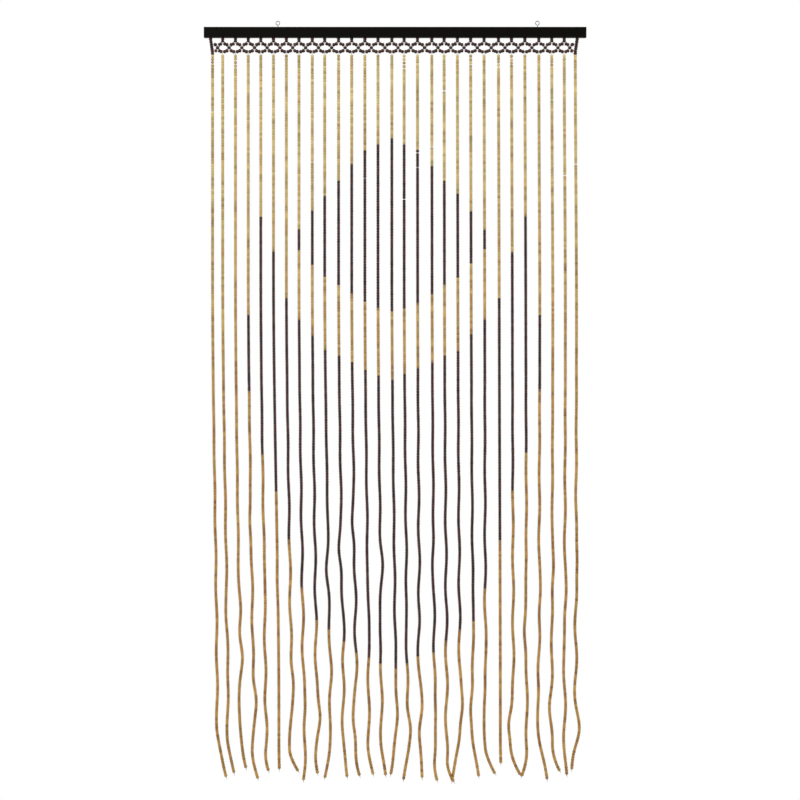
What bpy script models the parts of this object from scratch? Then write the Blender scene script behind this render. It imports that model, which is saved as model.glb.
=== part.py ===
"""A bead curtain on its hanging bar, in metres, +Z up, seen from the front along +Y.

The origin is midway along the bar, at the height where two nails or hooks carry its screw eyes.
Below the bar hangs a heading of hexagonal meshes, and below each mesh one string of beads.
"""

from cmath import phase, rect
from collections import namedtuple
from math import cos, exp, pi, sin

import bmesh
import bpy
from mathutils import Vector

# What stays open between two pieces that touch
GAP = 0.0003

BAR_LENGTH = 0.900
BAR_DEPTH = 0.016
BAR_HEIGHT = 0.0245
BAR_EDGE = 0.0008

WIRE = 0.002
EYE_RADIUS = 0.0045
EYE_RISE = 0.010
SHANK_IN_BAR = 0.012
EYE_PLACES = {"hanger_left": -0.276, "hanger_right": 0.335}

BAR_TOP = -EYE_RISE
BAR_BOTTOM = BAR_TOP - BAR_HEIGHT

# How the strings' heads are spaced: evenly, but for the two outermost
STRING_PITCH = 0.0309
END_PITCH = 0.0255
FIRST_REGULAR = -0.4054

# The heading's links, how far out the end strings are tied, and how far below the bar the knots lie
LINK_HALF = 0.0033
END_SPLAY = 0.005
KNOT_DROPS = {
    "tie": GAP,
    "split": 0.0127,
    "mid_top": 0.0182,
    "mid_bottom": 0.0287,
    "join": 0.0344,
    "foot": 0.0395,
}

# A string's half thickness, and the stretches of it, from drop to drop, with their steps
STRING_HALF = 0.0033
STRING_DROP = 0.0405
STRAIGHT_DROP = 0.62
WAVY_DROP = 1.08
STRAIGHT_STEPS = 2
EASY_STEPS = 7
WAVY_STEPS = 25

# How the strings stray: to the right by a fan and a lean, in ripples and bends, and in depth
FAN = 0.0032
FAN_OVER = 0.70
LEAN_FROM = 0.55
LEAN_OVER = 1.05
RIPPLE_FROM = 0.65
RIPPLE_OVER = 1.00
RIPPLE_LENGTH = 0.155
BEND_SPREAD = 0.042
HOOK_POWER = 1.7
SWAY = 0.0044
SWAY_FROM = 0.50
SWAY_OVER = 1.10
SWAY_RIPPLE = 0.0002
SWAY_LENGTH = 0.70
SWAY_SHIFT = 2.4

# One row for each string, left to right, in millimetres, with what goes right positive.
# top: how far its head stands from the even spacing. lean: how far its lower half has drifted.
# ripple: the height of its small waves near the end, one of which has its crest at drop crest.
# bend and bow: two larger curves, at drops bend_at and bow_at. hook: how far the end flicks aside
# over its last hook_over. drop: how far below the bar it ends.
StringRow = namedtuple("StringRow", "top lean ripple crest bend bend_at bow bow_at hook hook_over drop")
STRING_TABLE = (
    StringRow(1.0, 11.0, 1.5, 1370, 0.0, 1500, 0.0, 1500, 23.0, 120, 1741),
    StringRow(-0.6, 11.3, 1.6, 1550, -3.0, 1370, 2.5, 1460, 14.5, 85, 1732),
    StringRow(-1.4, 10.0, 1.2, 1480, 3.5, 1352, 6.5, 1455, 16.5, 110, 1720),
    StringRow(-2.2, 11.0, 2.0, 1295, 8.0, 1556, -4.0, 1140, 9.5, 65, 1744),
    StringRow(-3.6, 11.0, 2.0, 1645, 3.0, 1610, 2.5, 1265, 10.0, 50, 1727),
    StringRow(-4.6, 12.5, 0.0, 1500, 0.0, 1500, -1.2, 1280, 1.0, 60, 1723),
    StringRow(-5.2, 11.5, 2.4, 1562, 6.0, 1510, -4.0, 1690, 16.5, 52, 1727),
    StringRow(-6.4, 10.0, 2.6, 1360, 6.5, 1583, 5.0, 1718, 0.0, 45, 1746),
    StringRow(-5.9, 9.5, 2.6, 1374, 11.5, 1602, -4.5, 1693, 6.5, 50, 1734),
    StringRow(-7.6, 12.0, 1.4, 1478, 3.5, 1500, -4.5, 1255, -12.0, 70, 1744),
    StringRow(-5.8, 11.0, 2.6, 1376, -8.0, 1207, 3.0, 1420, 11.0, 75, 1741),
    StringRow(-5.8, 10.0, 3.0, 1475, -8.5, 1612, -6.0, 1148, 9.5, 85, 1739),
    StringRow(-5.7, 9.0, 2.0, 1432, 3.5, 1365, -2.0, 1275, 8.0, 70, 1731),
    StringRow(-5.7, 8.0, 2.2, 1562, 4.0, 1235, -4.0, 1402, 8.5, 75, 1738),
    StringRow(-4.0, 8.5, 1.6, 1425, 3.5, 1600, 2.5, 1500, -12.5, 95, 1732),
    StringRow(-6.0, 7.0, 2.2, 1512, 8.0, 1622, -2.5, 1365, -6.5, 80, 1748),
    StringRow(-5.4, 4.5, 3.0, 1540, 6.0, 1588, -3.5, 1412, 7.5, 65, 1744),
    StringRow(-2.6, 5.5, 2.2, 1512, 5.0, 1592, -3.5, 1228, 8.5, 50, 1749),
    StringRow(-4.5, 4.8, 2.6, 1523, 0.0, 1500, 0.0, 1500, 18.5, 50, 1749),
    StringRow(-4.1, 4.5, 2.4, 1362, 8.0, 1578, -5.0, 1688, -15.5, 120, 1751),
    StringRow(-3.9, 4.3, 1.8, 1405, -7.0, 1575, 2.5, 1335, 12.0, 100, 1737),
    StringRow(-3.1, 1.5, 2.2, 1402, -4.0, 1570, 2.5, 1465, 20.5, 58, 1732),
    StringRow(-0.1, 2.4, 0.0, 1500, 0.0, 1500, 0.0, 1500, 1.0, 60, 1704),
    StringRow(-0.3, 2.4, 2.0, 1455, -12.5, 1617, -3.5, 1690, 15.5, 70, 1734),
    StringRow(0.2, 2.0, 1.8, 1560, -7.0, 1400, -2.5, 1262, -13.0, 65, 1737),
    StringRow(2.2, -2.0, 2.4, 1255, -4.5, 1577, 4.0, 1315, 18.5, 140, 1748),
    StringRow(1.7, -2.8, 1.6, 1190, -4.0, 1575, 4.0, 1250, 21.5, 64, 1728),
    StringRow(0.2, -1.6, 2.4, 1572, 4.0, 1318, -3.0, 1425, 3.0, 50, 1738),
    StringRow(0.7, -2.4, 2.8, 1460, 6.0, 1630, 4.5, 1230, -8.5, 90, 1724),
)
LAST = len(STRING_TABLE) - 1

COLOURS = {
    "black paint": (0.012, 0.010, 0.009),
    "zinc plate": (0.42, 0.42, 0.42),
    "wooden beads": (0.46, 0.32, 0.12),
}


def clear_scene():
    for old in list(bpy.data.objects):
        bpy.data.objects.remove(old, do_unlink=True)


def make_material(name, roughness, metallic=0.0):
    material = bpy.data.materials.new(name)
    material.use_nodes = True
    shader = material.node_tree.nodes["Principled BSDF"]
    shader.inputs["Base Color"].default_value = (*COLOURS[name], 1.0)
    shader.inputs["Roughness"].default_value = roughness
    shader.inputs["Metallic"].default_value = metallic
    return material


def add_object(name, build, material):
    """An object whose mesh build makes, in the empty bmesh that it is given."""
    work = bmesh.new()
    build(work)
    mesh = bpy.data.meshes.new(name)
    work.to_mesh(mesh)
    work.free()
    mesh.materials.append(material)
    made = bpy.data.objects.new(name, mesh)
    bpy.context.scene.collection.objects.link(made)
    return made


def add_rod(work, radius, low, high, x):
    """An upright rod on the line at x, from height low to height high."""
    made = bmesh.ops.create_cone(
        work, cap_ends=True, segments=12, radius1=radius, radius2=radius, depth=high - low
    )
    bmesh.ops.translate(work, verts=made["verts"], vec=(x, 0.0, (low + high) / 2))


def combine(target, helper, operation):
    """Joins the helper to the target, or cuts it out, by a Boolean modifier."""
    helper.hide_render = True
    helper.display_type = "WIRE"
    boolean = target.modifiers.new(operation.lower(), "BOOLEAN")
    boolean.operation = operation
    boolean.object = helper


def build_bar(paint):
    """A square-cut batten, with a pilot hole in its top edge for each screw eye."""
    def block(work):
        made = bmesh.ops.create_cube(work, size=1.0)
        bmesh.ops.scale(work, verts=made["verts"], vec=(BAR_LENGTH, BAR_DEPTH, BAR_HEIGHT))
        bmesh.ops.translate(work, verts=made["verts"], vec=(0.0, 0.0, (BAR_TOP + BAR_BOTTOM) / 2))

    def pilot_holes(work):
        for x in EYE_PLACES.values():
            add_rod(work, WIRE / 2 + GAP, BAR_TOP - SHANK_IN_BAR - GAP, BAR_TOP + WIRE, x)

    bar = add_object("bar", block, paint)
    eased = bar.modifiers.new("eased edges", "BEVEL")
    eased.width = BAR_EDGE
    eased.segments = 2
    combine(bar, add_object("pilot_holes", pilot_holes, paint), "DIFFERENCE")


def build_hanger(name, x, zinc):
    """A screw eye: a ring of wire that faces the front, on a shank down into the bar."""
    def ring(work):
        section = bmesh.ops.create_circle(work, segments=8, radius=WIRE / 2)["verts"]
        bmesh.ops.translate(work, verts=section, vec=(EYE_RADIUS, 0.0, 0.0))
        around = {edge for vert in section for edge in vert.link_edges}
        bmesh.ops.spin(
            work,
            geom=section + list(around),
            axis=(0.0, 1.0, 0.0),
            cent=(0.0, 0.0, 0.0),
            angle=2 * pi,
            steps=20,
            use_merge=True,
        )
        bmesh.ops.recalc_face_normals(work, faces=work.faces)
        bmesh.ops.translate(work, verts=work.verts, vec=(x, 0.0, 0.0))

    def shank(work):
        add_rod(work, WIRE / 2, BAR_TOP - SHANK_IN_BAR, -EYE_RADIUS, x)

    combine(add_object(name, ring, zinc), add_object(name + "_shank", shank, zinc), "UNION")


def ease(value):
    """0 below 0, 1 above 1, and a smooth rise between."""
    value = min(max(value, 0.0), 1.0)
    return value * value * (3.0 - 2.0 * value)


def head_x(index):
    """Where a string hangs from the heading, along the bar."""
    regular = min(max(index, 1), LAST - 1)
    x = FIRST_REGULAR + STRING_PITCH * (regular - 1) + END_PITCH * (index - regular)
    return x + STRING_TABLE[index].top / 1000


def knot_x(index, name):
    """Where a string's knot of this name lies along the bar; the end strings' upper ones are splayed."""
    splay = END_SPLAY * max(0.0, 1.0 - KNOT_DROPS[name] / KNOT_DROPS["join"])
    return head_x(index) + {0: -splay, LAST: splay}.get(index, 0.0)


def string_point(index, drop):
    """The middle of a string at this drop below the bar."""
    row = STRING_TABLE[index]
    head = head_x(index)
    fan = FAN * max(0.0, head / (BAR_LENGTH / 2)) * ease(drop / FAN_OVER)
    lean = row.lean * ease((drop - LEAN_FROM) / LEAN_OVER)
    waves = ease((drop - RIPPLE_FROM) / RIPPLE_OVER)
    ripple = row.ripple * waves * cos(2 * pi * (drop - row.crest / 1000) / RIPPLE_LENGTH)
    bends = row.bend * exp(-(((drop - row.bend_at / 1000) / BEND_SPREAD) ** 2))
    bends += row.bow * exp(-(((drop - row.bow_at / 1000) / BEND_SPREAD) ** 2))
    flick = max(0.0, 1.0 - (row.drop - drop * 1000) / row.hook_over)
    aside = lean + ripple + bends + row.hook * flick ** HOOK_POWER

    side = 1 if index % 2 else -1
    sway = side * SWAY * ease((drop - SWAY_FROM) / SWAY_OVER)
    sway += SWAY_RIPPLE * waves * sin(2 * pi * drop / SWAY_LENGTH + SWAY_SHIFT * index)
    return Vector((head + fan + aside / 1000, sway, BAR_BOTTOM - drop))


def string_stations(index):
    """The middles of a string's cross-sections, close together where it waves."""
    end = STRING_TABLE[index].drop / 1000
    stretches = (
        (STRING_DROP, STRAIGHT_DROP, STRAIGHT_STEPS),
        (STRAIGHT_DROP, WAVY_DROP, EASY_STEPS),
        (WAVY_DROP, end, WAVY_STEPS),
    )
    for low, high, steps in stretches:
        for step in range(steps):
            yield string_point(index, low + (high - low) * step / steps)
    yield string_point(index, end)


def heading_net():
    """The heading's knots as numbers x + z i, and its links as pairs of knots."""
    knots = []

    def knot(x, name):
        knots.append(complex(x, BAR_BOTTOM - KNOT_DROPS[name]))
        return len(knots) - 1

    middles = []
    for index in range(LAST):
        x = (head_x(index) + head_x(index + 1)) / 2
        middles.append((knot(x, "mid_top"), knot(x, "mid_bottom")))

    links = list(middles)
    for index in range(LAST + 1):
        names = ("tie", "split", "join", "foot")
        tie, split, join, foot = (knot(knot_x(index, name), name) for name in names)
        links += [(tie, split), (join, foot)]
        for mid_top, mid_bottom in middles[max(index - 1, 0):index + 1]:
            links += [(split, mid_top), (mid_bottom, join)]
        if index in (0, LAST):
            links.append((split, join))
    return knots, links


def net_plates(knots, links):
    """The net laid flat: its corners, and a plate of corners for each link and each meeting of links.

    Where a link meets no other it is cut off level.
    """
    neighbours = [[] for _ in knots]
    for a, b in links:
        neighbours[a].append(b)
        neighbours[b].append(a)

    corners = []
    plates = []
    left = {}
    right = {}
    for a, around in enumerate(neighbours):
        around.sort(key=lambda b: phase(knots[b] - knots[a]))
        first = len(corners)
        for b, c in zip(around, around[1:] + around[:1]):
            along = (knots[b] - knots[a]) / abs(knots[b] - knots[a])
            if b == c:
                left[a, b] = first
                right[a, b] = first + 1
                level = -LINK_HALF / along.imag
                corners += [knots[a] + level, knots[a] - level]
            else:
                turn = phase((knots[c] - knots[a]) / along) % (2 * pi)
                left[a, b] = right[a, c] = len(corners)
                corners.append(knots[a] + along * rect(LINK_HALF / sin(turn / 2), turn / 2))
        if len(around) > 2:
            plates.append(range(first, len(corners)))
    plates += [(right[a, b], left[b, a], right[b, a], left[a, b]) for a, b in links]
    return corners, plates


def draw_string(work, end, index):
    """Extrudes the end face from station to station, kept square to the string's way down."""
    middle = end.calc_center_median()
    sides = [((corner.co - middle).x > 0, (corner.co - middle).y > 0) for corner in end.verts]
    for station in string_stations(index):
        down = station - middle
        across = Vector((-down.z, 0.0, down.x)).normalized()
        end = bmesh.ops.extrude_discrete_faces(work, faces=[end])["faces"][0]
        for corner, (to_right, to_back) in zip(end.verts, sides):
            corner.co = station + across * (STRING_HALF if to_right else -STRING_HALF)
            corner.co.y += STRING_HALF if to_back else -STRING_HALF
        middle = station


def build_strings(beads):
    """The heading as a slab cut through at its meshes, and a string drawn down from each foot."""
    def heading_and_strings(work):
        corners, plates = net_plates(*heading_net())
        verts = [work.verts.new((corner.real, -LINK_HALF, corner.imag)) for corner in corners]
        front = [work.faces.new([verts[corner] for corner in plate]) for plate in plates]
        made = bmesh.ops.extrude_face_region(work, geom=front)["geom"]
        back = [item for item in made if isinstance(item, bmesh.types.BMVert)]
        bmesh.ops.translate(work, verts=back, vec=(0.0, 2 * LINK_HALF, 0.0))
        bmesh.ops.recalc_face_normals(work, faces=work.faces)
        for index in range(LAST + 1):
            foot = Vector((head_x(index), 0.0, BAR_BOTTOM - KNOT_DROPS["foot"]))
            end = min(work.faces, key=lambda face: (face.calc_center_median() - foot).length)
            draw_string(work, end, index)

    add_object("bead_strings", heading_and_strings, beads)


clear_scene()
build_bar(make_material("black paint", 0.4))
zinc_plate = make_material("zinc plate", 0.35, metallic=1.0)
for hanger_name, place in EYE_PLACES.items():
    build_hanger(hanger_name, place, zinc_plate)
build_strings(make_material("wooden beads", 0.5))
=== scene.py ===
from collections import namedtuple
from math import cos, exp, pi, sin, tan
from random import Random

import bpy
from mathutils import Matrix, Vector


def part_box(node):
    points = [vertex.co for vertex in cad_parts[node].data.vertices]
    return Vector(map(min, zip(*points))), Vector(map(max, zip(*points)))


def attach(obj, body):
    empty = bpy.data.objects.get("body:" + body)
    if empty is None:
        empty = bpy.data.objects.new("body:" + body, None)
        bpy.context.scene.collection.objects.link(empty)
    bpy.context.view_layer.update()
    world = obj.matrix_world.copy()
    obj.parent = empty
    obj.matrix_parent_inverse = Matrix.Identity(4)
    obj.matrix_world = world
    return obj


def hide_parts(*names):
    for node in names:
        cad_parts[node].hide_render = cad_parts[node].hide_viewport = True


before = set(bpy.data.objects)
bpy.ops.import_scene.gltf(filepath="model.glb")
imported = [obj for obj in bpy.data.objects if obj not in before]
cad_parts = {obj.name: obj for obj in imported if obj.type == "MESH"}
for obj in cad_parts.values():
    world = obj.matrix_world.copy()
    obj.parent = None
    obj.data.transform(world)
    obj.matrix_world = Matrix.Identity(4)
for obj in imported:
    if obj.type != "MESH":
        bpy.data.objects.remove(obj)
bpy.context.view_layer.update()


# The studio. The curtain hangs straight in front of a long lens, against plain white, among
# three broad soft lamps: the main one at the upper left, a weaker one at the right and one
# behind. A plain pale floor lies below the strings' ends, just out of the front view.

VIEW_CENTRE = Vector((0.0115, 0.0, -0.8875))
VIEW_WIDTH = 1.8838
LENS = 100.0
SENSOR = 36.0
CAMERA_DISTANCE = VIEW_WIDTH * LENS / SENSOR
WHITE = (1.0, 1.0, 1.0, 1.0)
WORLD_LIGHT = 0.55

# The floor ends where the camera would begin to see it, and its outer part fades out
FLOOR_HEIGHT = -2.05
FLOOR_RADIUS = (VIEW_CENTRE.z - FLOOR_HEIGHT) * LENS / (SENSOR / 2) - CAMERA_DISTANCE
FLOOR_FADES_FROM = 0.55
FLOOR_SIDES = 96
FLOOR_COLOUR = (0.80, 0.79, 0.77, 1.0)
FLOOR_MOTTLE = (3.0, 3.0, 3.0)

# Each lamp is a flat panel, width by height, that faces the curtain's middle
Lamp = namedtuple("Lamp", "name width height place watts")
LAMPS = (
    Lamp("key_lamp", 1.6, 1.6, (-2.4, -2.8, 1.3), 75.0),
    Lamp("fill_lamp", 1.4, 2.2, (2.8, -2.6, -0.4), 28.0),
    Lamp("back_lamp", 1.6, 1.6, (1.2, 2.8, 1.2), 45.0),
)


class Wire:
    """One output of a node. Arithmetic on it, with numbers or other wires, adds Math nodes."""

    def __init__(self, bench, socket):
        self.bench = bench
        self.socket = socket

    def __getitem__(self, name):
        return Wire(self.bench, self.socket.node.outputs[name])

    def math(self, operation, *values):
        return self.bench.node("ShaderNodeMath", {"operation": operation}, dict(enumerate(values)))

    def __add__(self, other):
        return self.math("ADD", self, other)

    def __sub__(self, other):
        return self.math("SUBTRACT", self, other)

    def __rsub__(self, other):
        return self.math("SUBTRACT", other, self)

    def __mul__(self, other):
        return self.math("MULTIPLY", self, other)

    def __truediv__(self, other):
        return self.math("DIVIDE", self, other)

    def __pow__(self, other):
        return self.math("POWER", self, other)

    def __abs__(self):
        return self.math("ABSOLUTE", self)

    __radd__ = __add__
    __rmul__ = __mul__


class Bench:
    """A node tree being wired up, for a finish, for the studio's light or for geometry."""

    def __init__(self, tree):
        self.tree = tree

    def node(self, kind, settings=None, sockets=None):
        """Adds a node: first its settings, then its sockets, by name or number, with values or wires."""
        made = self.tree.nodes.new(kind)
        for name, value in (settings or {}).items():
            setattr(made, name, value)
        usable = [socket for socket in made.inputs if socket.enabled]
        names = [socket.name for socket in usable]
        for name, value in (sockets or {}).items():
            socket = usable[name if isinstance(name, int) else names.index(name)]
            if isinstance(value, Wire):
                self.tree.links.new(value.socket, socket)
            else:
                socket.default_value = value
        outputs = [socket for socket in made.outputs if socket.enabled]
        return Wire(self, outputs[0]) if outputs else None

    def mix(self, factor, first, second, blend="MIX"):
        """From the first colour to the second, as the factor goes from 0 to 1."""
        return self.node(
            "ShaderNodeMix",
            {"data_type": "RGBA", "blend_type": blend},
            {"Factor": factor, "A": first, "B": second},
        )

    def between(self, value, low, high):
        """0 where the value is at or below low, 1 at or above high, and a smooth rise between."""
        return self.node(
            "ShaderNodeMapRange",
            {"interpolation_type": "SMOOTHSTEP"},
            {"Value": value, "From Min": low, "From Max": high},
        )

    def vectors(self, operation, *values):
        """Vector Math, on vectors or on wires that carry them."""
        return self.node("ShaderNodeVectorMath", {"operation": operation}, dict(enumerate(values)))

    def place(self):
        """Where a point of the surface lies, in the object's own coordinates."""
        return self.node("ShaderNodeTexCoord")["Object"]

    def attribute(self, name):
        """The number that a piece's mesh carries under this name."""
        return self.node("ShaderNodeAttribute", {"attribute_name": name})["Fac"]

    def noise(self, scales, detail, shift=(0.0, 0.0, 0.0)):
        """Noise on the object's own coordinates, each axis with its own scale, per metre."""
        spot = self.vectors("ADD", self.vectors("MULTIPLY", self.place(), scales), shift)
        return self.node("ShaderNodeTexNoise", {}, {"Vector": spot, "Scale": 1.0, "Detail": detail})

    def bump(self, height, distance, strength):
        """Relief this deep, in metres, where the height goes from 0 to 1."""
        return self.node(
            "ShaderNodeBump", {}, {"Strength": strength, "Distance": distance, "Height": height}
        )


def make_finish(name, paint):
    """A material: paint works out, on the bench it gets, what feeds each socket of the shader."""
    material = bpy.data.materials.new(name)
    material.use_nodes = True
    material.node_tree.nodes.clear()
    bench = Bench(material.node_tree)
    shader = bench.node("ShaderNodeBsdfPrincipled", {}, paint(bench))
    bench.node("ShaderNodeOutputMaterial", {}, {"Surface": shader})
    return material


def add_piece(name, data):
    """A new object in the scene, made of this mesh, lamp or camera."""
    made = bpy.data.objects.new(name, data)
    bpy.context.scene.collection.objects.link(made)
    return made


def aim(thing, place, target):
    """Sets a lamp or the camera at its place and turns it to face the target."""
    thing.location = place
    thing.rotation_euler = (target - Vector(place)).to_track_quat("-Z", "Y").to_euler()


def floor_paint(bench):
    """Pale, barely mottled, and fading out towards the rim."""
    mottle = bench.noise(FLOOR_MOTTLE, detail=4.0)
    out = bench.vectors("LENGTH", bench.vectors("MULTIPLY", bench.place(), (1.0, 1.0, 0.0)))
    return {
        "Base Color": bench.mix(mottle * 0.08, FLOOR_COLOUR, WHITE),
        "Roughness": 0.55 + mottle * 0.1,
        "Alpha": 1 - bench.between(out, FLOOR_RADIUS * FLOOR_FADES_FROM, FLOOR_RADIUS),
    }


camera = bpy.data.cameras.new("camera")
camera.lens = LENS
camera.sensor_width = SENSOR
camera_object = add_piece("camera", camera)
aim(camera_object, VIEW_CENTRE - Vector((0.0, CAMERA_DISTANCE, 0.0)), VIEW_CENTRE)
bpy.context.scene.camera = camera_object
bpy.context.scene.view_settings.view_transform = "Standard"

for row in LAMPS:
    lamp = bpy.data.lights.new(row.name, "AREA")
    lamp.shape = "RECTANGLE"
    lamp.size = row.width
    lamp.size_y = row.height
    lamp.energy = row.watts
    aim(add_piece(row.name, lamp), row.place, VIEW_CENTRE)

world = bpy.data.worlds.new("white_studio")
world.use_nodes = True
world.node_tree.nodes.clear()
air = Bench(world.node_tree)
seen = air.node("ShaderNodeLightPath")["Is Camera Ray"]
glow = air.node("ShaderNodeBackground", {}, {"Color": WHITE, "Strength": seen + (1 - seen) * WORLD_LIGHT})
air.node("ShaderNodeOutputWorld", {}, {"Surface": glow})
bpy.context.scene.world = world

floor_mesh = bpy.data.meshes.new("floor")
floor_turns = [2 * pi * step / FLOOR_SIDES for step in range(FLOOR_SIDES)]
floor_rim = [(FLOOR_RADIUS * cos(turn), FLOOR_RADIUS * sin(turn), FLOOR_HEIGHT) for turn in floor_turns]
floor_mesh.from_pydata(floor_rim, [], [range(FLOOR_SIDES)])
floor_mesh.materials.append(make_finish("pale_floor", floor_paint))
add_piece("floor", floor_mesh)


# The hanging bar. It is a square-cut wooden batten, its edges just eased, under a thin
# coat of satin black paint that lets the long grain show through as faint ridges. Its
# solid has the right shape, so it stays and gets its paint here.

PAINT = (0.0022, 0.0018, 0.0011, 1.0)
PAINT_WORN = (0.014, 0.009, 0.006, 1.0)
PAINT_RIDGES = 0.00025
EDGE_WORN_OVER = 0.0011

# How fine the grain, its slow ripple and the patches of sheen are along each axis, per metre,
# and between which values of the patches the edges are worn
BAR_GRAIN = (9.0, 700.0, 420.0)
BAR_RIPPLE = (2.5, 90.0, 60.0)
BAR_PATCHES = (60.0, 60.0, 60.0)
WORN_PATCHES = (0.46, 0.62)

bar_low, bar_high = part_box("bar")
bar_middle = (bar_low + bar_high) / 2
bar_half = (bar_high - bar_low) / 2


def bar_paint(bench):
    """Thin black paint: ridged by the grain, mottled in its sheen, and thinner along the edges."""
    from_middle = bench.vectors("SUBTRACT", bench.place(), bar_middle)
    apart = bench.node("ShaderNodeSeparateXYZ", {}, {"Vector": from_middle})
    inside_front = bar_half.y - abs(apart["Y"])
    inside_top = bar_half.z - abs(apart["Z"])
    edge = 1 - bench.between(inside_front + inside_top, 0.0, EDGE_WORN_OVER)
    grain = bench.noise(BAR_GRAIN, detail=4.0)
    ripple = bench.noise(BAR_RIPPLE, detail=2.0)
    patches = bench.noise(BAR_PATCHES, detail=3.0)
    worn = edge * bench.between(patches, *WORN_PATCHES)
    return {
        "Base Color": bench.mix(worn, PAINT, PAINT_WORN),
        "Roughness": 0.30 + grain * 0.16 + patches * 0.10,
        "Specular IOR Level": 0.07,
        "Normal": bench.bump(grain * 0.6 + ripple, PAINT_RIDGES, 0.5),
    }


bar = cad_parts["bar"]
satin_black = make_finish("satin_black_paint", bar_paint)
for slot in bar.material_slots:
    slot.material = satin_black


# The two screw eyes. Each is one length of zinc-plated wire, bent out from its neck and
# round into a ring that all but closes on the neck again. Its cut thread runs down into
# the bar's top edge, with the first turn still showing.

WIRE = 0.0020
WIRE_SIDES = 14
RING_RADIUS = 0.0045
RING_STEPS = 44
RING_OPENS = 0.04
BEND_TURN = 0.56
BEND_STEPS = 8
NECK_STEPS = 6
THREAD_TURNS = 12
THREAD_PITCH = 0.0011
THREAD_RADIUS = 0.00088
THREAD_WIRE = 0.00062
THREAD_SIDES = 6
THREAD_STEPS = 14
THREAD_ABOVE_BAR = 0.0010
ZINC = (0.42, 0.42, 0.42, 1.0)
ZINC_DULL = (0.22, 0.22, 0.225, 1.0)

# The zinc's spangles: how fine they are, per metre, where they turn dull, and how far they rise
SPANGLES = (900.0, 900.0, 900.0)
DULL_SPANGLES = (0.42, 0.66)
SPANGLE_RISE = 0.00004


def start_tree(name, inputs):
    """A geometry tree with these inputs, each a name with its socket type, and its bench."""
    tree = bpy.data.node_groups.new(name, "GeometryNodeTree")
    tree.interface.new_socket("Geometry", in_out="INPUT", socket_type="NodeSocketGeometry")
    for socket, kind in inputs.items():
        tree.interface.new_socket(socket, in_out="INPUT", socket_type=kind)
    tree.interface.new_socket("Geometry", in_out="OUTPUT", socket_type="NodeSocketGeometry")
    bench = Bench(tree)
    return bench, bench.node("NodeGroupInput")


def end_tree(bench, geometry, material):
    """Turns the instances into plain mesh in their material, as the tree's result."""
    real = bench.node("GeometryNodeRealizeInstances", {}, {"Geometry": geometry})
    dressed = bench.node("GeometryNodeSetMaterial", {}, {"Geometry": real, "Material": material})
    bench.node("NodeGroupOutput", {}, {"Geometry": dressed})
    return bench.tree


def chain_mesh(chains):
    """A mesh of open chains of points."""
    mesh = bpy.data.meshes.new("chains")
    points = []
    edges = []
    for chain in chains:
        first = len(points)
        points += chain
        edges += [(point, point + 1) for point in range(first, len(points) - 1)]
    mesh.from_pydata(points, edges, [])
    return mesh


def grow(name, mesh, tree, inputs):
    """The piece that a tree makes on a mesh, with the tree's inputs set by name."""
    source = add_piece(name + "_path", mesh)
    modifier = source.modifiers.new("grow", "NODES")
    modifier.node_group = tree
    for item in tree.interface.items_tree:
        if item.in_out == "INPUT" and item.name in inputs:
            modifier[item.identifier] = inputs[item.name]
    depsgraph = bpy.context.evaluated_depsgraph_get()
    grown = bpy.data.meshes.new_from_object(
        source.evaluated_get(depsgraph), preserve_all_data_layers=True, depsgraph=depsgraph
    )
    bpy.data.objects.remove(source)
    grown.name = name
    return add_piece(name, grown)


def drawn_tree():
    """Draws a round section along each chain of points, as wire or thread."""
    bench, given = start_tree(
        "drawn_wire",
        {"Thickness": "NodeSocketFloat", "Sides": "NodeSocketInt", "Material": "NodeSocketMaterial"},
    )
    paths = bench.node("GeometryNodeMeshToCurve", {}, {"Mesh": given["Geometry"]})
    section = bench.node(
        "GeometryNodeCurvePrimitiveCircle",
        {},
        {"Resolution": given["Sides"], "Radius": given["Thickness"] / 2},
    )
    tube = bench.node(
        "GeometryNodeCurveToMesh", {}, {"Curve": paths, "Profile Curve": section, "Fill Caps": True}
    )
    smooth = bench.node("GeometryNodeSetShadeSmooth", {}, {"Geometry": tube})
    return end_tree(bench, smooth, given["Material"])


def eye_path(x, foot_height):
    """The wire's way from its foot in the bar up the neck, over the bend and round the ring."""
    def on_ring(angle):
        return Vector((x + RING_RADIUS * cos(angle), 0.0, RING_RADIUS * sin(angle)))

    ring_start = BEND_TURN - pi / 2
    corner = Vector((x, 0.0, -RING_RADIUS / cos(BEND_TURN)))
    neck_top = corner - Vector((0.0, 0.0, RING_RADIUS * tan(BEND_TURN)))
    foot = Vector((x, 0.0, foot_height))
    path = [foot.lerp(neck_top, step / NECK_STEPS) for step in range(NECK_STEPS)]
    for step in range(BEND_STEPS):
        share = step / BEND_STEPS
        path.append(neck_top.lerp(corner, share).lerp(corner.lerp(on_ring(ring_start), share), share))
    for step in range(RING_STEPS + 1):
        path.append(on_ring(ring_start + (2 * pi - BEND_TURN - RING_OPENS) * step / RING_STEPS))
    return path


def thread_path(x):
    """The cut thread's way round the shank, from just above the bar down to its foot."""
    top = bar_high.z + THREAD_ABOVE_BAR
    path = []
    for step in range(THREAD_TURNS * THREAD_STEPS + 1):
        turn = step / THREAD_STEPS
        angle = 2 * pi * turn
        path.append(
            Vector((x + THREAD_RADIUS * cos(angle), THREAD_RADIUS * sin(angle), top - THREAD_PITCH * turn))
        )
    return path


def zinc_paint(bench):
    """Plated wire, dulled in small spangles."""
    spangle = bench.noise(SPANGLES, detail=3.0)
    return {
        "Base Color": bench.mix(bench.between(spangle, *DULL_SPANGLES), ZINC, ZINC_DULL),
        "Metallic": 1.0,
        "Roughness": 0.24 + spangle * 0.22,
        "Normal": bench.bump(spangle, SPANGLE_RISE, 0.4),
    }


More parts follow.
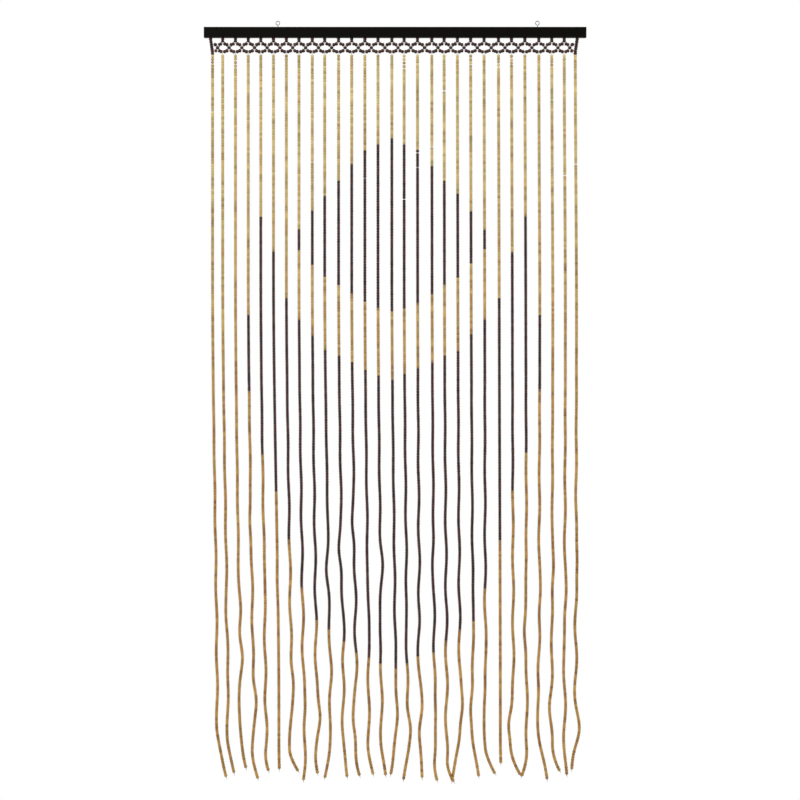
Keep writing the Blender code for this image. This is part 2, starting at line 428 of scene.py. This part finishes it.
drawn = drawn_tree()
zinc = make_finish("zinc_plated_wire", zinc_paint)
for node in ("hanger_left", "hanger_right"):
    eye_low, eye_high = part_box(node)
    eye_x = (eye_low.x + eye_high.x) / 2
    eye = grow(
        node + "_eye",
        chain_mesh([eye_path(eye_x, eye_low.z)]),
        drawn,
        {"Thickness": WIRE, "Sides": WIRE_SIDES, "Material": zinc},
    )
    cut = grow(
        node + "_thread",
        chain_mesh([thread_path(eye_x)]),
        drawn,
        {"Thickness": THREAD_WIRE, "Sides": THREAD_SIDES, "Material": zinc},
    )
    for piece in (eye, cut):
        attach(piece, "root")
        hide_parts(node)


# The heading. A row of hexagonal meshes of turned wooden beads, a little thicker than the
# strings' and stained a dark reddish brown, is strung on waxed cotton and tied up into the
# bar's underside. Each mesh carries one string from its lowest point.

# How the strings' heads are spaced: evenly, but for the two outermost
STRING_PITCH = 0.0309
END_PITCH = 0.0255
FIRST_REGULAR = -0.4054

# How far out the end strings are tied, and how far below the bar the heading's knots lie
END_SPLAY = 0.005
KNOT_DROPS = {
    "tie": 0.0003,
    "split": 0.0127,
    "mid_top": 0.0182,
    "mid_bottom": 0.0287,
    "join": 0.0344,
    "foot": 0.0400,
}

# The links: how thick their beads are, and how long about, and the angle past which two links
# that meet go straight on
LINK_WIDTH = 0.0088
LINK_BEAD_LENGTH = 0.0059
STRAIGHT_ON = 2.8
THREAD = 0.0010
THREAD_IN_BAR = 0.003
HEADING_SEED = 11

# A bead's barrel shape: how much it narrows at its ends, by which power of the way there
BEAD_NARROWING = 0.34
BARREL_POWER = 2.4
BEAD_UNEVEN = 0.035
BEAD_SIDES = 10
BEAD_SEGMENTS = 4

# How the beads' tone and warmth drift: how fast, per metre along the bar and downwards, what
# share of them drifts, the rest being each bead's own chance, and which noise gives 0 and 1
TONE_RUNS = (90.0, 0.0, 34.0)
TONE_DRIFTS = 0.40
WARMTH_RUNS = (90.0, 0.0, 26.0)
WARMTH_SHIFT = (0.0, 9.0, 0.0)
WARMTH_DRIFTS = 0.55
DRIFT_SPAN = (0.32, 0.68)

# The stained beads' finish, and what all beads share with it: how fine the grain is, per metre,
# how far it moves on between beads, how deep it is, and how sharply the painted shade darkens a bead's
# rims, where it meets the next bead
STAINED_GRAIN = (1500.0, 1500.0, 160.0)
GRAIN_MOVES = 60.0
GRAIN_DEPTH = 0.00006
RIM_SHADE_POWER = 8.0
STAIN_RED = (0.105, 0.030, 0.024, 1.0)
STAIN_BLACK = (0.016, 0.0062, 0.0056, 1.0)

COTTON = (0.62, 0.55, 0.42, 1.0)
COTTON_SHADE = (0.34, 0.27, 0.18, 1.0)
COTTON_PLIES = (3000.0, 3000.0, 900.0)
PLY_DEPTH = 0.0001

# One row for each string, left to right, in millimetres, with what goes right positive.
# top: how far its head stands from the even spacing. lean: how far its lower half has drifted.
# ripple: the height of its small waves near the end, one of which has its crest at drop crest.
# bend and bow: two larger curves, at drops bend_at and bow_at. hook: how far the end flicks aside
# over its last hook_over. drop: how far below the bar it ends.
StringRow = namedtuple("StringRow", "top lean ripple crest bend bend_at bow bow_at hook hook_over drop")
STRING_TABLE = (
    StringRow(1.0, 11.0, 1.5, 1370, 0.0, 1500, 0.0, 1500, 23.0, 120, 1741),
    StringRow(-0.6, 11.3, 1.6, 1550, -3.0, 1370, 2.5, 1460, 14.5, 85, 1732),
    StringRow(-1.4, 10.0, 1.2, 1480, 3.5, 1352, 6.5, 1455, 16.5, 110, 1720),
    StringRow(-2.2, 11.0, 2.0, 1295, 8.0, 1556, -4.0, 1140, 9.5, 65, 1744),
    StringRow(-3.6, 11.0, 2.0, 1645, 3.0, 1610, 2.5, 1265, 10.0, 50, 1727),
    StringRow(-4.6, 12.5, 0.0, 1500, 0.0, 1500, -1.2, 1280, 1.0, 60, 1723),
    StringRow(-5.2, 11.5, 2.4, 1562, 6.0, 1510, -4.0, 1690, 16.5, 52, 1727),
    StringRow(-6.4, 10.0, 2.6, 1360, 6.5, 1583, 5.0, 1718, 0.0, 45, 1746),
    StringRow(-5.9, 9.5, 2.6, 1374, 11.5, 1602, -4.5, 1693, 6.5, 50, 1734),
    StringRow(-7.6, 12.0, 1.4, 1478, 3.5, 1500, -4.5, 1255, -12.0, 70, 1744),
    StringRow(-5.8, 11.0, 2.6, 1376, -8.0, 1207, 3.0, 1420, 11.0, 75, 1741),
    StringRow(-5.8, 10.0, 3.0, 1475, -8.5, 1612, -6.0, 1148, 9.5, 85, 1739),
    StringRow(-5.7, 9.0, 2.0, 1432, 3.5, 1365, -2.0, 1275, 8.0, 70, 1731),
    StringRow(-5.7, 8.0, 2.2, 1562, 4.0, 1235, -4.0, 1402, 8.5, 75, 1738),
    StringRow(-4.0, 8.5, 1.6, 1425, 3.5, 1600, 2.5, 1500, -12.5, 95, 1732),
    StringRow(-6.0, 7.0, 2.2, 1512, 8.0, 1622, -2.5, 1365, -6.5, 80, 1748),
    StringRow(-5.4, 4.5, 3.0, 1540, 6.0, 1588, -3.5, 1412, 7.5, 65, 1744),
    StringRow(-2.6, 5.5, 2.2, 1512, 5.0, 1592, -3.5, 1228, 8.5, 50, 1749),
    StringRow(-4.5, 4.8, 2.6, 1523, 0.0, 1500, 0.0, 1500, 18.5, 50, 1749),
    StringRow(-4.1, 4.5, 2.4, 1362, 8.0, 1578, -5.0, 1688, -15.5, 120, 1751),
    StringRow(-3.9, 4.3, 1.8, 1405, -7.0, 1575, 2.5, 1335, 12.0, 100, 1737),
    StringRow(-3.1, 1.5, 2.2, 1402, -4.0, 1570, 2.5, 1465, 20.5, 58, 1732),
    StringRow(-0.1, 2.4, 0.0, 1500, 0.0, 1500, 0.0, 1500, 1.0, 60, 1704),
    StringRow(-0.3, 2.4, 2.0, 1455, -12.5, 1617, -3.5, 1690, 15.5, 70, 1734),
    StringRow(0.2, 2.0, 1.8, 1560, -7.0, 1400, -2.5, 1262, -13.0, 65, 1737),
    StringRow(2.2, -2.0, 2.4, 1255, -4.5, 1577, 4.0, 1315, 18.5, 140, 1748),
    StringRow(1.7, -2.8, 1.6, 1190, -4.0, 1575, 4.0, 1250, 21.5, 64, 1728),
    StringRow(0.2, -1.6, 2.4, 1572, 4.0, 1318, -3.0, 1425, 3.0, 50, 1738),
    StringRow(0.7, -2.4, 2.8, 1460, 6.0, 1630, 4.5, 1230, -8.5, 90, 1724),
)
LAST = len(STRING_TABLE) - 1


def head_x(index):
    """Where a string hangs from the heading, along the bar."""
    regular = min(max(index, 1), LAST - 1)
    x = FIRST_REGULAR + STRING_PITCH * (regular - 1) + END_PITCH * (index - regular)
    return x + STRING_TABLE[index].top / 1000


def knot(x, name):
    """The heading's knot of this name at this place along the bar."""
    return Vector((x, 0.0, bar_low.z - KNOT_DROPS[name]))


def string_knot(index, name):
    """A string's knot of this name, below its head; the end strings' upper ones are splayed."""
    splay = END_SPLAY * max(0.0, 1 - KNOT_DROPS[name] / KNOT_DROPS["join"])
    return knot(head_x(index) + {0: -splay, LAST: splay}.get(index, 0.0), name)


def heading_links():
    """The heading's links, each as its two ends; the ties up to the bar begin at the bar.

    The outermost links run on down past the last join, as far as the beads of the end strings.
    """
    middles = []
    for index in range(LAST):
        x = (head_x(index) + head_x(index + 1)) / 2
        middles.append((knot(x, "mid_top"), knot(x, "mid_bottom")))

    links = list(middles)
    for index in range(LAST + 1):
        tie, split, join, foot = (string_knot(index, name) for name in ("tie", "split", "join", "foot"))
        links.append((tie, split))
        for mid_top, mid_bottom in middles[max(index - 1, 0):index + 1]:
            links += [(split, mid_top), (mid_bottom, join)]
        if index in (0, LAST):
            links += [(split, join), (join, foot)]
    return links


Bead = namedtuple("Bead", "middle way length")


def joint_room(joint, way, links):
    """How far a link's beads keep from a joint, so that their rims clear the beads of the next link round.

    Where two links go straight on through a joint, their beads fill it, and others keep clear of them.
    """
    ways = [b - a if a == joint else a - b for a, b in links if joint in (a, b)]
    turns = [way.angle(other) for other in ways if other != way]
    if not turns or max(turns) > STRAIGHT_ON:
        return 0.0
    rim = LINK_WIDTH / 2 * (1 - BEAD_NARROWING)
    filled = any(a.angle(b) > STRAIGHT_ON for a in ways for b in ways)
    return ((LINK_WIDTH / 2 if filled else rim) + rim * cos(min(turns))) / sin(min(turns))


def link_beads(start, end, links):
    """The beads that fill a link between its joints."""
    way = end - start
    first = joint_room(start, way, links)
    span = way.length - first - joint_room(end, -way, links)
    count = round(span / LINK_BEAD_LENGTH)
    length = span / count
    way.normalize()
    return [Bead(start + way * (first + length * (step + 0.5)), way, length) for step in range(count)]


def bead_mesh(beads):
    """A mesh of one point for each bead, with the way that its bore runs and its length."""
    mesh = bpy.data.meshes.new("beads")
    mesh.from_pydata([bead.middle for bead in beads], [], [])
    ways = mesh.attributes.new("bead_way", "FLOAT_VECTOR", "POINT")
    ways.data.foreach_set("vector", [part for bead in beads for part in bead.way])
    lengths = mesh.attributes.new("bead_length", "FLOAT", "POINT")
    lengths.data.foreach_set("value", [bead.length for bead in beads])
    return mesh


def bead_tree():
    """Sets a turned bead on each point: barrel-shaped, flat at its two ends.

    Each bead is a little off size, a little askew and turned its own way. For its finish it
    carries a tone and a warmth, which drift in runs along its string, and a number of its own.
    """
    bench, given = start_tree(
        "strung_beads",
        {
            "Width": "NodeSocketFloat",
            "Narrowing": "NodeSocketFloat",
            "Sides": "NodeSocketInt",
            "Uneven": "NodeSocketFloat",
            "Seed": "NodeSocketInt",
            "Material": "NodeSocketMaterial",
        },
    )

    def stored(name, kind):
        return bench.node("GeometryNodeInputNamedAttribute", {"data_type": kind}, {"Name": name})

    def chance(low, high, salt, kind="FLOAT"):
        return bench.node(
            "FunctionNodeRandomValue",
            {"data_type": kind},
            {"Min": low, "Max": high, "Seed": given["Seed"] + salt},
        )

    blank = bench.node(
        "GeometryNodeMeshCylinder",
        {"fill_type": "NGON"},
        {"Vertices": given["Sides"], "Side Segments": BEAD_SEGMENTS, "Radius": 0.5, "Depth": 1.0},
    )
    sides = bench.node(
        "GeometryNodeSetShadeSmooth", {}, {"Geometry": blank, "Shade Smooth": blank["Side"]}
    )
    place = bench.node("GeometryNodeInputPosition")
    along = abs(bench.node("ShaderNodeSeparateXYZ", {}, {"Vector": place})["Z"]) * 2
    waist = 1 - given["Narrowing"] * along ** BARREL_POWER
    squeeze = bench.node("ShaderNodeCombineXYZ", {}, {"X": waist, "Y": waist, "Z": 1.0})
    marked = bench.node(
        "GeometryNodeStoreNamedAttribute",
        {"data_type": "FLOAT", "domain": "POINT"},
        {"Geometry": sides, "Name": "along", "Value": along},
    )
    turned = bench.node(
        "GeometryNodeSetPosition",
        {},
        {"Geometry": marked, "Position": bench.vectors("MULTIPLY", place, squeeze)},
    )

    tilt = chance((-1.0, -1.0, -1.0), (1.0, 1.0, 1.0), 1, "FLOAT_VECTOR")
    lean = bench.vectors("MULTIPLY_ADD", tilt, given["Uneven"], stored("bead_way", "FLOAT_VECTOR"))
    upright = bench.node("FunctionNodeAlignRotationToVector", {"axis": "Z"}, {"Vector": lean})
    spin = bench.node("ShaderNodeCombineXYZ", {}, {"Z": chance(0.0, 2 * pi, 2)})
    spun = bench.node(
        "FunctionNodeRotateRotation",
        {"rotation_space": "LOCAL"},
        {"Rotation": upright, "Rotate By": bench.node("FunctionNodeEulerToRotation", {}, {"Euler": spin})},
    )
    width = given["Width"] * (1 + chance(-1.0, 1.0, 3) * given["Uneven"])
    length = stored("bead_length", "FLOAT")
    beads = bench.node(
        "GeometryNodeInstanceOnPoints",
        {},
        {
            "Points": given["Geometry"],
            "Instance": turned,
            "Rotation": spun,
            "Scale": bench.node("ShaderNodeCombineXYZ", {}, {"X": width, "Y": width, "Z": length}),
        },
    )

    def runs(scales, shift):
        """A value from 0 to 1 that drifts from bead to bead, on each string in its own way."""
        spot = bench.vectors("MULTIPLY_ADD", place, scales, shift)
        drift = bench.node("ShaderNodeTexNoise", {}, {"Vector": spot, "Scale": 1.0, "Detail": 1.0})
        return bench.between(drift, *DRIFT_SPAN)

    tone_runs = runs(TONE_RUNS, (0.0, 0.0, 0.0))
    warmth_runs = runs(WARMTH_RUNS, WARMTH_SHIFT)
    values = {
        "tone": tone_runs * TONE_DRIFTS + chance(0.0, 1.0, 4) * (1 - TONE_DRIFTS),
        "warmth": warmth_runs * WARMTH_DRIFTS + chance(0.0, 1.0, 5) * (1 - WARMTH_DRIFTS),
        "own": chance(0.0, 1.0, 6),
    }
    for name, value in values.items():
        beads = bench.node(
            "GeometryNodeStoreNamedAttribute",
            {"data_type": "FLOAT", "domain": "INSTANCE"},
            {"Geometry": beads, "Name": name, "Value": value},
        )
    return end_tree(bench, beads, given["Material"])


def stained_wood(red, black):
    """Paint for beads stained dark: the stain's depth differs from bead to bead and in the grain, and
    painted shade darkens each bead towards its rims, where it meets the next.
    """
    def paint(bench):
        grain = bench.noise(STAINED_GRAIN, detail=3.0, shift=bench.attribute("own") * GRAIN_MOVES)
        taken = 1 - (1 - bench.attribute("tone")) ** 1.6 * 0.8
        stain = bench.mix(taken * 0.8 + grain * 0.2, red, black)
        # painted shade: each bead turns darker towards its two ends, where it meets its neighbours
        rim = bench.attribute("along") ** RIM_SHADE_POWER
        return {
            "Base Color": bench.mix(rim * 0.6, stain, black),
            "Roughness": 0.34 + grain * 0.22,
            "Specular IOR Level": 0.35,
            "Normal": bench.bump(grain, GRAIN_DEPTH, 0.6),
        }
    return paint


def thread_paint(bench):
    """Waxed cotton, its plies winding round it."""
    ply = bench.noise(COTTON_PLIES, detail=2.0)
    return {
        "Base Color": bench.mix(ply, COTTON_SHADE, COTTON),
        "Roughness": 0.75,
        "Normal": bench.bump(ply, PLY_DEPTH, 0.7),
    }


strung = bead_tree()
cotton = make_finish("waxed_cotton", thread_paint)
link_ends = heading_links()
linked_beads = []
thread_chains = []
for start, end in link_ends:
    linked_beads += link_beads(start, end, link_ends)
    tied = start.z > bar_low.z - 2 * KNOT_DROPS["tie"]
    thread_chains.append([start + Vector((0.0, 0.0, THREAD_IN_BAR if tied else 0.0)), end])

heading = grow(
    "heading_beads",
    bead_mesh(linked_beads),
    strung,
    {
        "Width": LINK_WIDTH,
        "Narrowing": BEAD_NARROWING,
        "Sides": BEAD_SIDES,
        "Uneven": BEAD_UNEVEN,
        "Seed": HEADING_SEED,
        "Material": make_finish("stained_heading_wood", stained_wood(STAIN_RED, STAIN_BLACK)),
    },
)
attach(heading, "root")
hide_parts("bead_strings")


# The strings of beads. Small barrel beads, turned from pale wood and lacquered, are strung
# close on waxed cotton that ends in a knot under the last one. Some are stained dark, and
# string by string they make up a lozenge above a shield.

BEAD_WIDTH = 0.0080
BEAD_PITCH = 0.0064
BEAD_VARIES = 0.06
BEAD_GAP = 0.00008

# Where the beads don't sit close: the first few of a string, and now and then one high up
LOOSE_BEADS = 5
LOOSE_GAP = 0.0026
ODD_GAP_CHANCE = 0.016
ODD_GAP_ABOVE = 0.40

# How the strings stray: to the right by a fan and a lean, in ripples and bends, and in depth
FAN = 0.0032
FAN_OVER = 0.70
LEAN_FROM = 0.55
LEAN_OVER = 1.05
RIPPLE_FROM = 0.65
RIPPLE_OVER = 1.00
RIPPLE_LENGTH = 0.155
BEND_SPREAD = 0.042
HOOK_POWER = 1.7
SWAY = 0.0044
SWAY_FROM = 0.50
SWAY_OVER = 1.10
SWAY_RIPPLE = 0.0002
SWAY_LENGTH = 0.70
SWAY_SHIFT = 2.4

# The figure's corners: how many strings from the middle one, and how far below the bar
MIDDLE_STRING = LAST // 2
LOZENGE_TOP = ((0, 0.238), (2, 0.264), (6, 0.406), (7, 0.450))
LOZENGE_BOTTOM = ((0, 0.643), (1, 0.639), (5, 0.566), (7, 0.500))
SHIELD_TOP = ((0, 0.808), (5, 0.735), (7, 0.665), (8, 0.611), (9, 0.505), (10, 0.422), (11, 0.655))
SHIELD_BOTTOM = ((0, 1.484), (3, 1.446), (6, 1.371), (7, 1.296), (9, 1.066), (10, 0.978), (11, 0.830))

# The thread takes its place from the middle of every third bead, and ends in a knot and a tail
THREADED_EVERY = 3
KNOT_RADIUS = 0.0008
KNOT_TURNS = 2.5
KNOT_STEPS = 20
KNOT_HEIGHT = 0.0020
TAIL = 0.0045

# The pale beads' finish: how fine the grain is, per metre, which of it shows as darker lines,
# between which heights painted shade turns the wood darker and browner towards the bottom, and what share
# that painted shade has in its warmth
LACQUERED_GRAIN = (1300.0, 1300.0, 140.0)
GRAIN_LINES = (0.45, 0.75)
LOW_SHADE_BETWEEN = (-1.15, -0.10)
LOW_SHADE_IN_WARMTH = 0.3
WARM_SPAN = (0.15, 0.85)

STRAW = (0.88, 0.70, 0.27, 1.0)
KHAKI = (0.39, 0.305, 0.09, 1.0)
CREAM_TAN = (0.88, 0.60, 0.22, 1.0)
ORANGE_BROWN = (0.335, 0.158, 0.03, 1.0)
# painted shade: the darker, browner tone multiplied into the pale wood low down
LOW_SHADE_BROWN = (0.758, 0.605, 0.323, 1.0)
# The darker lines of the grain, and the painted shade at the beads' rims
GRAIN_AND_RIM_SHADE_BROWN = (0.20, 0.11, 0.03, 1.0)
DARK_STAIN = (0.140, 0.042, 0.032, 1.0)
DARKER_STAIN = (0.017, 0.0045, 0.0038, 1.0)


def ease(value):
    """0 below 0, 1 above 1, and a smooth rise between."""
    value = min(max(value, 0.0), 1.0)
    return value * value * (3.0 - 2.0 * value)


def string_point(index, drop):
    """The middle of a string at this drop below the bar."""
    row = STRING_TABLE[index]
    head = head_x(index)
    fan = FAN * max(0.0, head / bar_high.x) * ease(drop / FAN_OVER)
    lean = row.lean * ease((drop - LEAN_FROM) / LEAN_OVER)
    waves = ease((drop - RIPPLE_FROM) / RIPPLE_OVER)
    ripple = row.ripple * waves * cos(2 * pi * (drop - row.crest / 1000) / RIPPLE_LENGTH)
    bends = row.bend * exp(-(((drop - row.bend_at / 1000) / BEND_SPREAD) ** 2))
    bends += row.bow * exp(-(((drop - row.bow_at / 1000) / BEND_SPREAD) ** 2))
    flick = max(0.0, 1.0 - (row.drop - drop * 1000) / row.hook_over)
    aside = lean + ripple + bends + row.hook * flick ** HOOK_POWER

    side = 1 if index % 2 else -1
    sway = side * SWAY * ease((drop - SWAY_FROM) / SWAY_OVER)
    sway += SWAY_RIPPLE * waves * sin(2 * pi * drop / SWAY_LENGTH + SWAY_SHIFT * index)
    return Vector((head + fan + aside / 1000, sway, bar_low.z - drop))


def figure_edge(corners, strings_out):
    """The drop of a figure's edge on a string this many from the middle, or None past its end."""
    for (near, near_drop), (far, far_drop) in zip(corners, corners[1:]):
        if near <= strings_out <= far:
            return near_drop + (far_drop - near_drop) * (strings_out - near) / (far - near)
    return None


def is_dark(index, drop):
    """Whether the bead at this drop belongs to the lozenge or the shield."""
    strings_out = abs(index - MIDDLE_STRING)
    for top, bottom in ((LOZENGE_TOP, LOZENGE_BOTTOM), (SHIELD_TOP, SHIELD_BOTTOM)):
        start = figure_edge(top, strings_out)
        end = figure_edge(bottom, strings_out)
        if start is not None and end is not None and start <= drop <= end:
            return True
    return False


def string_beads(index):
    """A string's beads from the top down."""
    chance = Random(index)
    end = STRING_TABLE[index].drop / 1000
    drop = KNOT_DROPS["foot"]
    slack = LOOSE_GAP * chance.random() ** 2
    beads = []
    while drop < end - BEAD_PITCH / 2:
        length = BEAD_PITCH * (1 + chance.uniform(-BEAD_VARIES, BEAD_VARIES))
        way = string_point(index, drop + length) - string_point(index, drop)
        fall = length * length / way.length
        beads.append(Bead(string_point(index, drop + fall / 2), way.normalized(), length - BEAD_GAP))
        drop += fall
        if len(beads) < LOOSE_BEADS:
            drop += chance.uniform(0.0, slack)
        elif drop < ODD_GAP_ABOVE and chance.random() < ODD_GAP_CHANCE:
            drop += chance.uniform(0.0, LOOSE_GAP)
    return beads


def end_knot(end, down):
    """The thread's way round the knot under the last bead, and its short tail."""
    right = Vector((0.0, 1.0, 0.0)).cross(down).normalized()
    back = down.cross(right)
    turns = []
    for step in range(KNOT_STEPS + 1):
        share = step / KNOT_STEPS
        angle = 2 * pi * KNOT_TURNS * share
        round_knot = (right * cos(angle) + back * sin(angle)) * KNOT_RADIUS
        turns.append(end + round_knot + down * KNOT_HEIGHT * share)
    return turns + [end + down * (KNOT_HEIGHT + TAIL)]


def lacquered_wood(bench):
    """Pale turned wood: straw to khaki where cool, cream to orange-brown where warm, with painted shade
    that makes it darker and browner low down.
    """
    tone = bench.attribute("tone")
    height = bench.node("ShaderNodeSeparateXYZ", {}, {"Vector": bench.place()})["Z"]
    # painted shade: 0 high up and 1 low down, where the wood is painted darker and browner for light
    # falling off downwards
    low = 1 - bench.between(height, *LOW_SHADE_BETWEEN)
    grain = bench.noise(LACQUERED_GRAIN, detail=3.0, shift=bench.attribute("own") * GRAIN_MOVES)
    # painted shade: each bead turns darker and browner towards its two ends, where it meets its neighbours
    rim = bench.attribute("along") ** RIM_SHADE_POWER

    # the painted shade also shifts the wood towards its warm colours low down
    warmth = bench.attribute("warmth") * (1 - LOW_SHADE_IN_WARMTH) + low * LOW_SHADE_IN_WARMTH
    warm = bench.between(warmth, *WARM_SPAN)
    cool_wood = bench.mix(tone, STRAW, KHAKI)
    warm_wood = bench.mix(tone, CREAM_TAN, ORANGE_BROWN)
    wood = bench.mix(warm, cool_wood, warm_wood)
    # painted shade: the wood multiplied darker and browner low down
    low_shaded = bench.mix(low, wood, LOW_SHADE_BROWN, "MULTIPLY")
    figured = bench.mix(bench.between(grain, *GRAIN_LINES) * 0.35, low_shaded, GRAIN_AND_RIM_SHADE_BROWN)
    return {
        "Base Color": bench.mix(rim * 0.45, figured, GRAIN_AND_RIM_SHADE_BROWN),
        "Roughness": 0.38 + grain * 0.2,
        "Specular IOR Level": 0.4,
        "Coat Weight": 0.15,
        "Coat Roughness": 0.25,
        "Normal": bench.bump(grain, GRAIN_DEPTH, 0.6),
    }


# The beads are made in groups, each of the pale or the dark ones of some neighbouring strings
BeadGroup = namedtuple("BeadGroup", "name dark first last seed")
BEAD_GROUPS = (
    BeadGroup("natural_beads_left", False, 0, 6, 20),
    BeadGroup("natural_beads_middle_left", False, 7, 13, 120),
    BeadGroup("natural_beads_middle_right", False, 14, 20, 220),
    BeadGroup("natural_beads_right", False, 21, LAST, 320),
    BeadGroup("dark_beads_left", True, 0, MIDDLE_STRING, 420),
    BeadGroup("dark_beads_right", True, MIDDLE_STRING + 1, LAST, 520),
)
natural_wood = make_finish("lacquered_pale_wood", lacquered_wood)
dark_wood = make_finish("stained_dark_wood", stained_wood(DARK_STAIN, DARKER_STAIN))
strings = [string_beads(index) for index in range(LAST + 1)]

for group in BEAD_GROUPS:
    chosen = [
        bead
        for index in range(group.first, group.last + 1)
        for bead in strings[index]
        if is_dark(index, bar_low.z - bead.middle.z) == group.dark
    ]
    beads = grow(
        group.name,
        bead_mesh(chosen),
        strung,
        {
            "Width": BEAD_WIDTH,
            "Narrowing": BEAD_NARROWING,
            "Sides": BEAD_SIDES,
            "Uneven": BEAD_UNEVEN,
            "Seed": group.seed,
            "Material": dark_wood if group.dark else natural_wood,
        },
    )
    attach(beads, "root")
    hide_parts("bead_strings")

for index, beads in enumerate(strings):
    last = beads[-1]
    below_last = last.middle + last.way * (last.length + THREAD) / 2
    threaded = [string_knot(index, "join")] + [bead.middle for bead in beads[:-1:THREADED_EVERY]]
    thread_chains.append(threaded + end_knot(below_last, last.way))

thread = grow(
    "bead_thread",
    chain_mesh(thread_chains),
    drawn,
    {"Thickness": THREAD, "Sides": THREAD_SIDES, "Material": cotton},
)
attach(thread, "root")
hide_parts("bead_strings")
